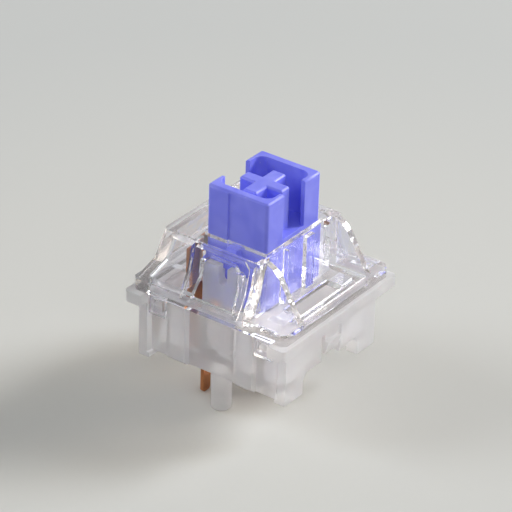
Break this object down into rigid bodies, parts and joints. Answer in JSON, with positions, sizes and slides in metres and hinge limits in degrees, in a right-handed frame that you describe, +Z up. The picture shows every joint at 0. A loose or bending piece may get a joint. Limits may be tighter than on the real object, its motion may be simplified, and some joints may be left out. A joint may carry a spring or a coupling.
{
  "type": "mechanical keyboard switch",
  "caption": "Plate-mounted mechanical keyboard switch: clear flared top housing, milky bottom housing with post and pegs, sprung lavender stem with a cross for a keycap.",
  "frame": {"origin": "on the centre post's axis, at the level of the circuit board's top face", "axes": "+Z up along the stem's travel, +X along the two side pegs, +Y towards the contacts, -Y is the open light side"},
  "size_m": [0.0156, 0.0156, 0.0188],
  "materials": {
    "milky_plastic": "satin, milky and translucent",
    "clear_plastic": "clear and polished",
    "stem_plastic": "satin lavender",
    "spring_steel": "drawn wire",
    "contact_copper": "rolled copper alloy strip",
    "contact_gold": "precious-metal inlay"
  },
  "bodies": {
    "housing": {"bottom_housing": "milky_plastic", "top_housing": "clear_plastic", "spring": "spring_steel", "fixed_contact": "contact_copper", "fixed_contact_tip": "contact_gold", "moving_contact": "contact_copper", "moving_contact_tip": "contact_gold"},
    "plunger": {"stem": "stem_plastic"}
  },
  "joints": [
    {"name": "stem_travel", "type": "slide", "parent": "housing", "child": "plunger", "axis": [0, 0, -1], "range_m": [0, 0.004], "stiffness_N_per_m": 75, "springref_m": -0.004, "deforming": ["spring"]}
  ]
}
